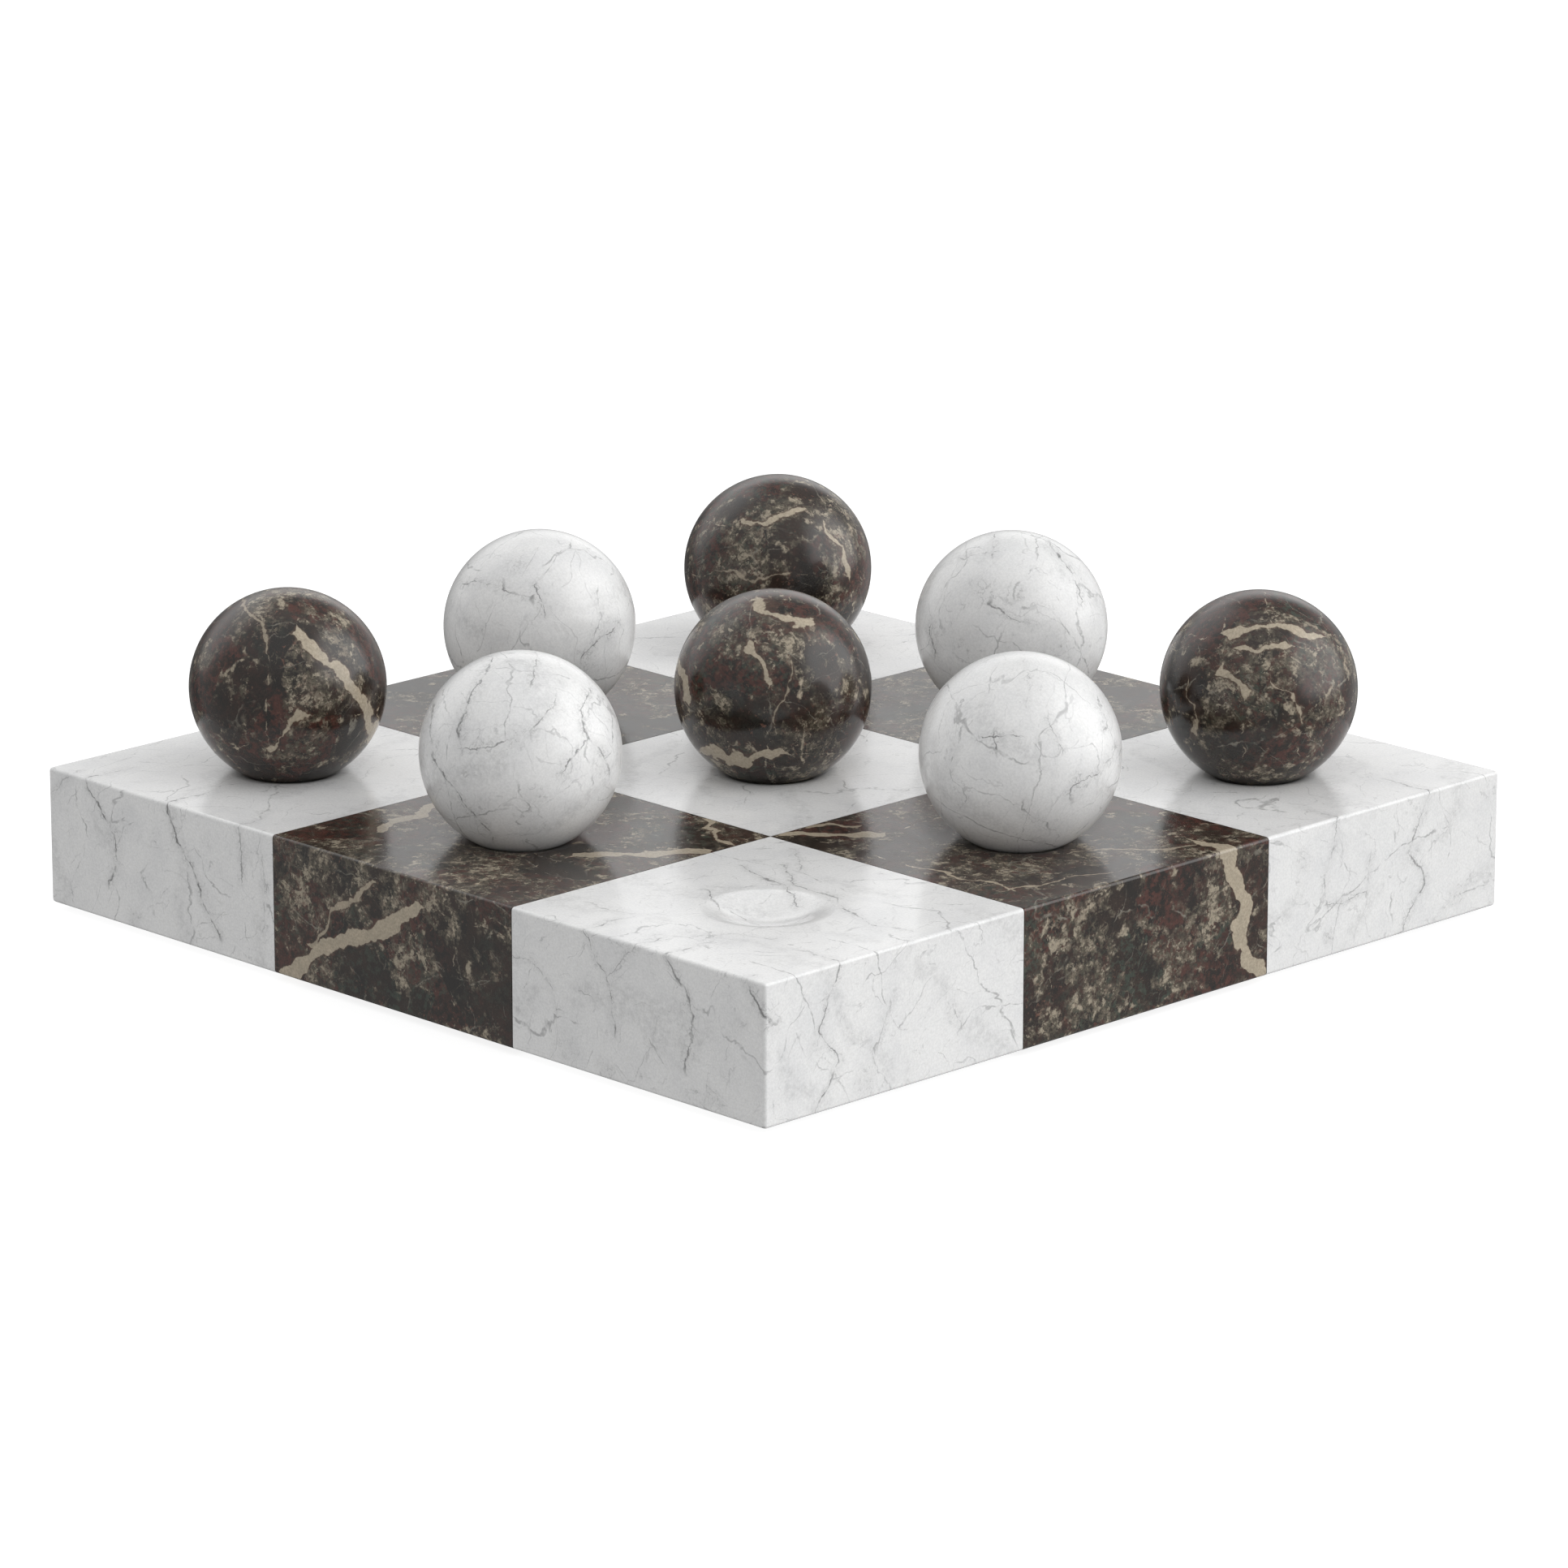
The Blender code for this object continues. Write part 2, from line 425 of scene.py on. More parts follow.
# The side of a ball that faces the board's front right corner, a little from above
NEAR_TURN = math.radians(45.5)
NEAR_TILT = math.radians(15.8)
NEAR_ALONG = Vector((math.cos(NEAR_TURN), math.sin(NEAR_TURN), 0.0))
NEAR_LEVEL = Vector((math.sin(NEAR_TURN), -math.cos(NEAR_TURN), 0.0))
NEAR_OUT = NEAR_LEVEL * math.cos(NEAR_TILT) + Vector((0.0, 0.0, math.sin(NEAR_TILT)))
NEAR_UP = NEAR_OUT.cross(NEAR_ALONG)

SOFT_END = 4.0  # how far past its path's ends a vein fades out


def face_coordinates(g, place):
    """For each visible face of a block: millimetres along it, down or across it, and in from it."""
    x, y, z = g.node("SeparateXYZ", {0: place}).outputs
    half = BLOCK_SIDE / MM / 2
    along_x = g.add(x, half)
    along_y = g.add(y, half)
    depth = g.multiply(z, -1.0)
    right = g.subtract(half, x)
    return {
        "front": (along_x, depth, along_y),
        "right": (along_y, depth, right),
        "top": (along_x, along_y, depth),
    }


def near_coordinates(g, place):
    """The same for the near side of a ball: millimetres along, down and in from its bounding square."""
    radius = BALL_RADIUS / MM
    along, up, out = (g.measure("DOT_PRODUCT", place, axis) for axis in (NEAR_ALONG, NEAR_UP, NEAR_OUT))
    return {"near": (g.add(along, radius), g.subtract(radius, up), g.subtract(radius, out))}


def vein(g, coordinates, path, reach):
    """How far each point is from a sheet of vein that shows on a face as path, and the sheet's mask.

    path is a list of (along, down) points in order, either down the face or along it. The sheet goes straight
    into the piece and fades out reach millimetres in.
    """
    along, down, inward = coordinates
    if any(later[1] <= earlier[1] for earlier, later in zip(path, path[1:])):
        along, down = down, along
        path = [(b, a) for a, b in path]
    start, end = path[0][1], path[-1][1]
    span = max(abs(b[0]) for b in path) + 1.0
    run = g.linear(down, start, end)
    offset = g.curve(run, [((v - start) / (end - start), u / span) for u, v in path])
    tilt = math.atan2(path[-1][0] - path[0][0], end - start)
    distance = g.multiply(g.away(along, g.multiply(offset, span)), math.cos(tilt))
    begun = g.ramp(down, start - SOFT_END, start)
    ended = g.ramp(down, end, end + SOFT_END, 1.0, 0.0)
    return distance, g.multiply(g.ramp(inward, reach * 0.3, reach, 1.0, 0.0), begun, ended)


def blob(g, coordinates, is_ball, along, down, radius):
    """1 at that point of a face, or of a ball's near side, and 0 beyond radius millimetres from it."""
    inward = 0.0
    if is_ball:
        ball = BALL_RADIUS / MM
        inward = ball - math.sqrt(max(0.0, ball**2 - (along - ball) ** 2 - (down - ball) ** 2))
    here = g.node("CombineXYZ", dict(enumerate(coordinates))).outputs[0]
    return g.ramp(g.measure("DISTANCE", here, (along, down, inward)), radius * 0.25, radius, 1.0, 0.0)


# ---------------------------------------------------------------- what both marbles share

GRAIN_SIZE = 0.7
GRAIN_RELIEF = 0.12
FIRST_SHEET = 100.37  # the number of the sheet through the origin, so that no sheet's number is negative
PATCH_SHIFT = 57.0  # the seams come and go by noise from somewhere else in the rock


def seams(g, bent, towards, spacing, width, share):
    """Thin veins that wander through the rock: 1 in the middle of a vein.

    They are a family of parallel sheets, square to towards and spacing millimetres apart, in a bent space.
    The larger share is, the more of the rock has them.
    """
    across = g.measure("DOT_PRODUCT", bent, Vector(towards).normalized())
    turns = g.math("FRACT", g.math("MULTIPLY_ADD", across, 1.0 / spacing, FIRST_SHEET))
    distance = g.multiply(g.away(turns, 0.5), spacing)
    patch = g.noise(g.vector("ADD", bent, Vector(towards) * PATCH_SHIFT), spacing * 0.8)
    present = g.ramp(patch, 0.60 - share * 0.3, 0.68 - share * 0.3)
    return g.multiply(g.ramp(distance, width * 0.2, width, 1.0, 0.0), present)


def finish_stone(g, here, colour, contrast, roughness, sunken):
    """The stone's colour with a crystalline grain, its polish, and a faint relief with sunken places."""
    grain = g.noise(here, GRAIN_SIZE, 2.0, 0.7)
    shade = g.linear(grain, 0.30, 0.70, 1.0 - contrast, 1.0 + contrast)
    g.feed(g.shader.inputs["Base Color"], g.tint(colour, shade))
    g.feed(g.shader.inputs["Roughness"], roughness)
    add_relief(g, g.subtract(g.noise(here, 1.0, 2.0, 0.6), sunken), GRAIN_RELIEF)


# ---------------------------------------------------------------- white marble

WHITE = (0.815, 0.815, 0.810)
COOL_CLOUD = (0.655, 0.660, 0.672)
VEIN_GREY = (0.330, 0.330, 0.332)
VEIN_DARK = (0.150, 0.150, 0.148)

BALL_SEAM_SHARE = 1.5  # a ball has more thin seams than a block

# Thin seams: whether they follow the second bend, the direction across them, their spacing and half-width in
# millimetres, the share of the rock that has them, how dark they are, and whether they come and go
GREY_SEAMS = (
    (False, (0.80, 0.55, 0.25), 29.0, 0.45, 0.45, 0.62, True),
    (True, (0.55, -0.75, 0.35), 21.0, 0.34, 0.40, 0.54, True),
    (True, (0.75, 0.30, -0.60), 12.0, 0.25, 0.38, 0.42, True),
    (False, (-0.30, 0.50, 0.80), 8.0, 0.22, 0.36, 0.24, False),
    (False, (0.70, -0.60, 0.20), 5.0, 0.20, 0.32, 0.14, False),
)


def grey_veins(g, here, rock, is_ball, veins, patches):
    """The dark cores of a white piece's main veins, and the halo round them and over its smudges."""
    jagged = g.warped(g.warped(here, 7.0, 4.5, 3.0), 1.5, 1.3, 3.0)
    faces = (near_coordinates if is_ball else face_coordinates)(g, jagged)
    thickness = g.linear(g.noise(rock, 5.0, 3.0, 0.6), 0.32, 0.68, 0.15, 1.7)
    core = 0.0
    halo = 0.0
    for face, path, width, strength, reach in veins:
        distance, mask = vein(g, faces[face], path, reach)
        closeness = g.math("DIVIDE", distance, g.multiply(thickness, width))
        core = g.highest(core, g.multiply(g.ramp(closeness, 0.15, 1.1, 1.0, 0.0), mask, strength))
        nearness = g.ramp(distance, 0.3, 2.0 + 3.0 * width, 1.0, 0.0)
        halo = g.highest(halo, g.multiply(nearness, mask, strength))
    for face, along, down, radius, strength in patches:
        smudge = blob(g, faces[face], is_ball, along, down, radius)
        halo = g.highest(halo, g.multiply(smudge, strength))
    return core, halo


def grey_seams(g, rock, is_ball, broken, grains):
    """The thin seams of the white rock, and broad bands of fine specks along some of them."""
    broad = g.warped(rock, 42.0, 34.0)
    bent = g.warped(g.warped(broad, 7.0, 5.0, 3.0), 1.7, 1.3)
    second = g.vector("ADD", broad, (40.0, 9.0, 23.0))
    crossed = g.warped(g.warped(second, 9.0, 7.0, 3.0), 1.9, 1.3)
    layers = []
    for is_crossed, towards, spacing, width, share, darkness, is_broken in GREY_SEAMS:
        share *= BALL_SEAM_SHARE if is_ball else 1.0
        seam = seams(g, crossed if is_crossed else bent, towards, spacing, width, share)
        layers.append(g.multiply(seam, broken if is_broken else 1.0, darkness))
    bands = seams(g, crossed, (0.90, 0.35, 0.15), 27.0, 4.5, 0.60)
    layers.append(g.multiply(bands, g.linear(grains, 0.38, 0.72, 0.0, 0.34)))
    return g.highest(*layers)


def white_marble(name, place, turn, is_ball, veins, patches):
    """Fine-grained white marble with grey veins, as it is at that place and turn in the rock."""
    material, g = new_material(name)
    here = g.piece_coordinates()
    rock = g.moved(here, place, turn)

    grains = g.noise(rock, 2.0, 5.0, 0.72)
    flecks = g.ramp(grains, 0.52, 0.68)
    fleck_zones = g.ramp(g.noise(rock, 9.0), 0.58, 0.72)
    strand_noise = g.noise(g.warped(rock, 3.0, 2.0), 4.5, 3.0, 0.6)
    strands = g.ramp(g.away(strand_noise, 0.5), 0.004, 0.030, 1.0, 0.0)
    broken = g.ramp(g.noise(rock, 4.2, 4.0, 0.6), 0.36, 0.56, 0.18, 1.0)
    core, halo = grey_veins(g, here, rock, is_ball, veins, patches)
    dark = g.highest(
        g.multiply(core, broken),
        g.multiply(halo, strands, broken, 0.55),
        g.multiply(halo, flecks, 0.55),
        g.multiply(halo, 0.13),
        grey_seams(g, rock, is_ball, broken, grains),
        g.multiply(flecks, fleck_zones, 0.46),
    )

    clouds = g.ramp(g.noise(g.warped(rock, 25.0, 18.0), 17.0, 6.0, 0.66), 0.40, 0.72)
    stone = g.mix(g.multiply(clouds, 0.42), WHITE, COOL_CLOUD)
    stone = g.mix(g.math("MINIMUM", g.multiply(dark, 1.15), 1.0), stone, VEIN_GREY)
    stone = g.mix(g.ramp(dark, 0.60, 1.0, 0.0, 0.8), stone, VEIN_DARK)
    polish = g.linear(g.noise(rock, 9.0, 3.0), 0.3, 0.7, 0.15, 0.22)
    roughness = g.add(polish, g.multiply(dark, 0.10))
    finish_stone(g, here, stone, 0.07, roughness, g.multiply(dark, 0.5))
    return material


# ---------------------------------------------------------------- dark marble

CHARCOAL = (0.0160, 0.0135, 0.0115)
BROWN = (0.0320, 0.0200, 0.0150)
MAROON = (0.0760, 0.0290, 0.0220)
RUST = (0.1600, 0.0680, 0.0460)
GREEN = (0.0420, 0.0560, 0.0420)
OLIVE = (0.0800, 0.0690, 0.0490)
TAUPE = (0.1750, 0.1450, 0.1080)
CREAM = (0.4300, 0.3650, 0.2750)
CREAM_SHADE = (0.3700, 0.3200, 0.2420)
VEIN_BORDER = (0.0850, 0.0520, 0.0360)
PALE_GREY = (0.2100, 0.1950, 0.1600)

LUMP_SIZE = 21.0

# Thin pale threads: the direction across them, their spacing and half-width in millimetres, and how strong
THREAD_SHARE = 0.30
THREADS = (
    ((0.70, 0.60, 0.30), 21.0, 0.45, 1.0),
    ((-0.30, 0.60, 0.70), 13.0, 0.30, 0.8),
    ((0.60, -0.70, 0.30), 8.0, 0.24, 0.6),
)


def dark_lumps(g, rock, medium, rust):
    """The colour of the dark angular lumps, each of a slightly different stone, and how far its edge is."""
    shifted = g.warped(g.warped(rock, 15.0, 13.0, 3.0), 3.5, 2.6, 3.0)
    edge = g.cells(shifted, LUMP_SIZE, "DISTANCE_TO_EDGE", "Distance")
    lump = g.node("SeparateColor", {0: g.cells(shifted, LUMP_SIZE, "F1", "Color")}).outputs
    granules = g.ramp(g.noise(rock, 2.1, 3.0, 0.62), 0.40, 0.62)
    maroon = g.multiply(granules, g.ramp(g.add(lump[0], g.noise(rock, 12.0, 3.0)), 0.70, 1.25))
    green = g.multiply(g.ramp(g.noise(rock, 2.6, 3.0, 0.7), 0.48, 0.62), g.ramp(lump[1], 0.50, 0.95))
    stone = g.mix(g.ramp(medium, 0.35, 0.65), CHARCOAL, BROWN)
    stone = g.mix(maroon, stone, MAROON)
    stone = g.mix(g.multiply(green, 0.80), stone, GREEN)
    stone = g.mix(g.multiply(rust, 0.70), stone, RUST)
    return stone, edge


def mottled_zones(g, rock, faces, is_ball, patches):
    """Where the dark rock is mottled: here and there all through it, and at this piece's own patches."""
    zones = g.ramp(g.noise(g.warped(rock, 20.0, 14.0), 20.0), 0.43, 0.61)
    ragged = g.ramp(g.noise(g.warped(rock, 6.0, 5.0), 6.0, 4.0, 0.6), 0.40, 0.58, 0.25, 1.0)
    for face, along, down, radius, strength in patches:
        patch = blob(g, faces[face], is_ball, along, down, radius)
        zones = g.highest(zones, g.multiply(patch, ragged, strength))
    return zones


def add_matrix(g, rock, stone, edge, zones, rust, medium, small, tiny):
    """stone with the olive, taupe and pale matrix between and over the lumps, and where that matrix is."""
    fine = g.noise(rock, 1.6, 4.0, 0.72)
    mottle = g.noise(g.warped(rock, 4.5, 4.2), 4.0, 6.0, 0.72)
    cover = g.math("MULTIPLY_ADD", zones, 0.20, mottle)
    mottled = g.ramp(cover, 0.595, 0.650)
    specks = g.multiply(g.ramp(fine, 0.58, 0.66), g.linear(zones, 0.0, 1.0, 0.35, 0.8))
    band_width = g.multiply(g.ramp(medium, 0.40, 0.66), g.linear(small, 0.3, 0.7, 0.03, 0.16))
    bands = g.ramp(g.subtract(band_width, edge), -0.02, 0.05)
    matrix = g.highest(mottled, g.multiply(bands, 0.85), specks)

    holes = g.multiply(g.ramp(small, 0.40, 0.48, 0.10, 1.0), g.ramp(tiny, 0.38, 0.52, 0.35, 1.0))
    dense = g.ramp(g.add(g.noise(rock, 7.0, 3.0), g.multiply(zones, 0.06)), 0.41, 0.59, 0.35, 1.0)
    body = g.mix(g.ramp(g.add(small, g.multiply(fine, 0.6)), 0.78, 0.93), OLIVE, TAUPE)
    body = g.mix(g.multiply(rust, 0.6), body, RUST)
    stone = g.mix(g.multiply(matrix, holes, dense), stone, body)

    flecks = g.multiply(g.ramp(fine, 0.57, 0.64), g.ramp(cover, 0.60, 0.72), dense)
    pale_bands = g.multiply(bands, g.ramp(small, 0.54, 0.62))
    pale = g.highest(g.ramp(cover, 0.75, 0.81), pale_bands, flecks)
    stone = g.mix(g.multiply(pale, g.ramp(tiny, 0.36, 0.54, 0.3, 0.85)), stone, CREAM_SHADE)
    return stone, matrix


def add_threads(g, rock, stone, small):
    """stone with thin pale threads."""
    bent = g.warped(g.warped(g.warped(rock, 30.0, 22.0), 7.0, 6.0, 3.0), 1.8, 1.5)
    layers = []
    for towards, spacing, width, strength in THREADS:
        layers.append(g.multiply(seams(g, bent, towards, spacing, width, THREAD_SHARE), strength))
    threads = g.multiply(g.highest(*layers), g.ramp(small, 0.38, 0.58, 0.15, 0.85))
    return g.mix(threads, stone, PALE_GREY)


def add_cream_veins(g, rock, faces, stone, veins, small, tiny):
    """stone with this piece's wide cream veins, which have jagged edges and a thin brown border."""
    thickness = g.linear(g.noise(rock, 8.0), 0.32, 0.68, 0.50, 1.50)
    nicks = g.multiply(g.subtract(small, 0.5), 1.6)
    cream = 0.0
    border = 0.0
    for face, path, width, strength, reach in veins:
        distance, mask = vein(g, faces[face], path, reach)
        margin = g.add(g.subtract(g.multiply(thickness, width, mask), distance), nicks)
        cream = g.highest(cream, g.multiply(g.ramp(margin, -0.08, 0.22), strength))
        edging = g.multiply(g.ramp(margin, -0.75, -0.10), g.ramp(mask, 0.05, 0.3), strength)
        border = g.highest(border, edging)
    stone = g.mix(g.multiply(border, 0.6), stone, VEIN_BORDER)
    vein_colour = g.mix(g.linear(small, 0.35, 0.65), CREAM_SHADE, CREAM)
    vein_colour = g.mix(g.ramp(tiny, 0.60, 0.76, 0.0, 0.30), vein_colour, TAUPE)
    return g.mix(cream, stone, vein_colour)


def dark_marble(name, place, turn, is_ball, veins, patches):
    """Near-black breccia with cream veins, as it is at that place and turn in the rock."""
    material, g = new_material(name)
    here = g.piece_coordinates()
    rock = g.moved(here, place, turn)
    jagged = g.warped(g.warped(here, 9.0, 6.0, 3.0), 2.2, 1.3)
    faces = (near_coordinates if is_ball else face_coordinates)(g, jagged)

    medium = g.noise(rock, 11.0, 3.0, 0.6)
    small = g.noise(rock, 3.4, 4.0, 0.62)
    tiny = g.noise(rock, 1.1, 3.0, 0.65)
    rust_zones = g.ramp(g.noise(rock, 15.0, 3.0), 0.48, 0.62)
    rust = g.multiply(g.ramp(g.noise(rock, 1.6, 3.0, 0.7), 0.57, 0.70), rust_zones)

    stone, edge = dark_lumps(g, rock, medium, rust)
    zones = mottled_zones(g, rock, faces, is_ball, patches)
    stone, matrix = add_matrix(g, rock, stone, edge, zones, rust, medium, small, tiny)
    stone = add_threads(g, rock, stone, small)
    stone = add_cream_veins(g, rock, faces, stone, veins, small, tiny)

    roughness = g.add(g.linear(medium, 0.3, 0.7, 0.13, 0.20), g.multiply(matrix, 0.05))
    finish_stone(g, here, stone, 0.20, roughness, g.multiply(matrix, 0.3))
    return material


# ---------------------------------------------------------------- rubber and adhesive

RUBBER_BLACK = (0.020, 0.020, 0.021)
RUBBER_DUST = (0.070, 0.068, 0.064)
GLUE_DARK = (0.030, 0.027, 0.024)
GLUE_SPECK = (0.075, 0.068, 0.060)


def rubber(name):
    """Moulded black rubber: a fine matt grain with a little dust on it."""
    material, g = new_material(name)
    here = g.piece_coordinates()
    dust = g.ramp(g.noise(here, 2.5, 4.0, 0.6), 0.50, 0.75, 0.0, 0.35)
    g.feed(g.shader.inputs["Base Color"], g.mix(dust, RUBBER_BLACK, RUBBER_DUST))
    g.feed(g.shader.inputs["Roughness"], g.linear(g.noise(here, 1.0, 3.0), 0.3, 0.7, 0.62, 0.85))
    add_relief(g, g.noise(here, 0.35, 3.0, 0.6), 0.30)
    return material


def adhesive(name):
    """Cured stone adhesive, dark grey, with specks of stone dust."""
    material, g = new_material(name)
    here = g.piece_coordinates()
    specks = g.ramp(g.noise(here, 1.4, 4.0, 0.6), 0.42, 0.62)
    g.feed(g.shader.inputs["Base Color"], g.mix(specks, GLUE_DARK, GLUE_SPECK))
    g.feed(g.shader.inputs["Roughness"], g.linear(g.noise(here, 0.9, 3.0), 0.3, 0.7, 0.45, 0.70))
    add_relief(g, g.noise(here, 0.5, 3.0, 0.6), 0.20)
    return material


# ---------------------------------------------------------------- the set's main veins

# The main veins of each block: the face, the path as (along, down) points in millimetres from the upper left
# corner of the face, or on the top as (along X, along Y) points from its front left corner, then the
# half-width, the strength and how far into the block the vein goes
VEINS = {
    "front_left": (
        ("front", [(16, -2), (20, 5), (27, 11), (30, 16), (31, 23), (27, 29)], 0.55, 0.85, 24),
        ("front", [(52, -2), (54, 3), (60, 14), (65, 18), (69, 26), (76, 34)], 0.65, 0.9, 24),
        ("front", [(85, -2), (86, 7), (86, 16)], 0.4, 0.75, 12),
        ("front", [(10, 0), (5, 5), (0, 9)], 0.3, 0.5, 8),
        ("front", [(95, 9), (96, 18), (95, 30)], 0.35, 0.5, 12),
    ),
    "front_right": (
        ("front", [(28, -2), (33, 6), (38, 12), (40, 20), (41, 26)], 0.35, 0.8, 24),
        ("front", [(52, -2), (44, 6), (38, 12)], 0.3, 0.7, 20),
        ("front", [(0, 14), (5, 13.6), (10, 15), (16, 20), (18, 25)], 0.25, 0.65, 12),
        ("front", [(60, -2), (65, 5), (69, 9), (72, 15), (71, 22), (69, 30)], 0.6, 0.8, 24),
        ("front", [(91, -2), (95, 4), (99, 9), (102, 14)], 0.6, 0.85, 7),
        ("front", [(75, 42), (78, 33), (83, 38)], 0.45, 0.6, 12),
        (
            "right",
            [(29, -2), (26, 6), (22, 13), (20, 18), (25, 23), (28, 28), (24, 34), (18, 42)],
            0.45, 0.8, 24,
        ),
        ("right", [(48, 16), (45, 22), (41, 27)], 0.25, 0.65, 12),
        ("right", [(72, 20), (73, 24), (75, 28)], 0.4, 0.65, 12),
        ("top", [(26, 50), (37, 43), (51, 36)], 0.4, 0.8, 12),
        ("top", [(16, 74), (28, 69), (36, 70), (50, 61)], 0.4, 0.8, 12),
        ("top", [(23, 82), (40, 71), (56, 71), (66, 64), (81, 59), (92, 63)], 0.4, 0.75, 12),
        ("top", [(15, 95), (30, 82)], 0.3, 0.65, 12),
        ("top", [(47, 10), (55, 16), (60, 26), (72, 30)], 0.3, 0.55, 12),
    ),
    "back_right": (
        ("right", [(29, -2), (28, 9), (24, 16), (25, 24)], 0.4, 0.75, 20),
        ("right", [(26, 25), (33, 25.2), (42, 24)], 0.25, 0.85, 12),
        ("right", [(70, -2), (65, 8), (60, 17), (66, 23), (68, 28), (62, 34), (57, 42)], 0.5, 0.8, 24),
        ("right", [(44, 15), (43, 20), (42, 24)], 0.35, 0.65, 12),
    ),
    "front_centre": (
        (
            "front",
            [(3, 42), (14, 35), (22, 28), (27, 25.5), (35, 22.5), (44, 19), (51, 16), (57, 11), (60, 8)],
            2.1, 1.0, 40,
        ),
        ("front", [(17, 29), (24, 18), (35, 11), (42, 5)], 0.6, 0.8, 30),
        ("top", [(76, 99), (81, 93), (84, 94), (91, 87), (97, 86)], 1.0, 0.9, 14),
        ("top", [(76, 49), (82, 56), (87, 60), (90, 68), (97, 75)], 2.2, 0.9, 10),
        ("top", [(18, 26), (13, 35), (15, 44), (9, 52), (8, 62)], 1.7, 0.9, 10),
    ),
    "middle_right": (
        (
            "right",
            [(82, -2), (83, 6), (87, 12), (92, 17), (90, 22), (88, 27), (91, 33), (99, 42)],
            2.6, 1.0, 16,
        ),
        ("top", [(1, 6), (8, 11), (14, 17), (20, 22)], 1.9, 1.0, 14),
        ("top", [(1, 16), (4, 21), (10, 24)], 1.2, 0.8, 10),
        ("top", [(50, 7), (60, 10), (66, 7), (76, 13), (84, 10)], 0.5, 0.9, 12),
        ("top", [(83, 10), (88, 20), (86, 30), (92, 40)], 0.4, 0.8, 12),
        ("top", [(70, 50), (75, 58), (84, 66), (90, 78)], 0.5, 0.7, 12),
    ),
}

# Feathered smudges in white blocks and pale mottled zones in dark ones: the face, the place on it, the radius
# in millimetres and the strength
PATCHES = {
    "front_left": (
        ("front", 29, 15, 6, 0.9), ("front", 86, 10, 3, 1.0), ("front", 96, 16, 4, 1.0),
        ("front", 95, 28, 4, 0.9), ("front", 38, 38, 5, 0.9), ("front", 69, 26, 4, 0.8),
    ),
    "front_right": (
        ("front", 38, 40, 7, 0.9), ("front", 70, 14, 5, 0.8), ("front", 78, 37, 4, 0.7),
        ("right", 38, 36, 6, 0.9), ("right", 72, 24, 6, 0.8), ("right", 19, 22, 5, 0.6),
        ("front", 22, 36, 9, 0.5), ("top", 56, 68, 10, 0.6), ("top", 84, 60, 10, 0.5),
        ("top", 20, 40, 14, 0.4), ("top", 60, 18, 12, 0.4),
    ),
    "back_right": (
        ("right", 26, 35, 4, 1.0), ("right", 82, 34, 6, 0.9), ("right", 14, 10, 6, 0.7),
        ("right", 60, 17, 5, 0.7),
    ),
    "front_centre": (
        ("front", 58, 25, 14, 1.7), ("front", 14, 14, 17, 1.6), ("front", 40, 4, 10, 1.6),
        ("front", 52, 14, 8, 1.6), ("front", 86, 22, 9, 0.9), ("front", 63, 7, 8, 1.9),
        ("top", 86, 52, 16, 1.2), ("top", 22, 52, 14, 1.2), ("top", 55, 20, 40, 1.0),
        ("top", 30, 75, 30, 0.8),
    ),
    "middle_right": (
        ("right", 75, 17, 16, 1.6), ("right", 15, 9, 16, 1.7), ("right", 10, 36, 10, 1.2),
        ("right", 57, 32, 8, 1.2), ("top", 60, 25, 42, 1.1), ("top", 20, 50, 30, 0.8),
        ("top", 84, 74, 28, 0.9),
    ),
}

